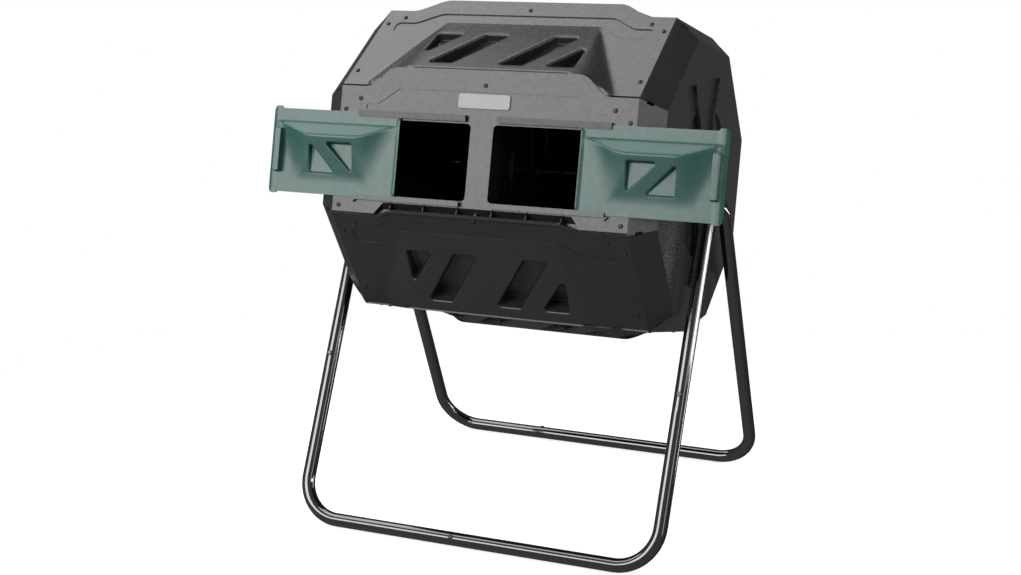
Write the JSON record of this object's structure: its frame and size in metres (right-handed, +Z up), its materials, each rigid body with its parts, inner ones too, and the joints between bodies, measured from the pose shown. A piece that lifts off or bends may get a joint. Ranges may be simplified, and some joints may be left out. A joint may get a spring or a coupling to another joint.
{
  "type": "compost tumbler",
  "caption": "Octagonal two-chamber compost drum turning on a tube stand, with sliding green doors on its front face.",
  "frame": {"origin": "on the ground, midway between the stand's two base bars and under the middle of the axle", "axes": "+X along the axle to the user's right, -Y towards the user on the door side, +Z up"},
  "size_m": [0.859, 0.6692, 0.957],
  "materials": {
    "drum_plastic": "moulded black polypropylene, satin",
    "door_plastic": "moulded grey-green polypropylene, satin",
    "bushing_plastic": "moulded nylon",
    "stand_enamel": "gloss black powder coat on steel tube",
    "screw_steel": "black oxide steel",
    "badge_metal": "brushed, blank"
  },
  "bodies": {
    "stand": {"leg_upper_front_left": "stand_enamel", "leg_upper_front_right": "stand_enamel", "leg_upper_rear_left": "stand_enamel", "leg_upper_rear_right": "stand_enamel", "leg_lower_front_left": "stand_enamel", "leg_lower_front_right": "stand_enamel", "leg_lower_rear_left": "stand_enamel", "leg_lower_rear_right": "stand_enamel", "axle_tube": "stand_enamel", "axle_plug_left": "bushing_plastic", "axle_plug_right": "bushing_plastic", "axle_washer_left": "screw_steel", "axle_washer_right": "screw_steel", "axle_bolt_left": "screw_steel", "axle_bolt_right": "screw_steel", "stand_screws": "screw_steel"},
    "drum": {"panel_upper_front": "drum_plastic", "panel_top": "drum_plastic", "panel_upper_back": "drum_plastic", "panel_back": "drum_plastic", "panel_lower_back": "drum_plastic", "panel_bottom": "drum_plastic", "panel_lower_front": "drum_plastic", "door_panel": "drum_plastic", "name_badge": "badge_metal", "end_cap_left": "drum_plastic", "end_cap_right": "drum_plastic", "divider_front": "drum_plastic", "divider_rear": "drum_plastic", "divider_bushing": "bushing_plastic", "hub_bushing_left": "bushing_plastic", "hub_bushing_right": "bushing_plastic", "panel_screws": "screw_steel"},
    "door_left_body": {"door_left": "door_plastic"},
    "door_right_body": {"door_right": "door_plastic"}
  },
  "joints": [
    {"name": "drum_spin", "type": "hinge", "parent": "stand", "child": "drum", "pos_m": [0, 0, 0.641], "axis": [1, 0, 0], "range_deg": [-205, 50]},
    {"name": "door_left_slide", "type": "slide", "parent": "drum", "child": "door_left_body", "axis": [1, 0, 0], "range_m": [-0.051, 0.147]},
    {"name": "door_right_slide", "type": "slide", "parent": "drum", "child": "door_right_body", "axis": [1, 0, 0], "range_m": [-0.176, 0.022]}
  ]
}
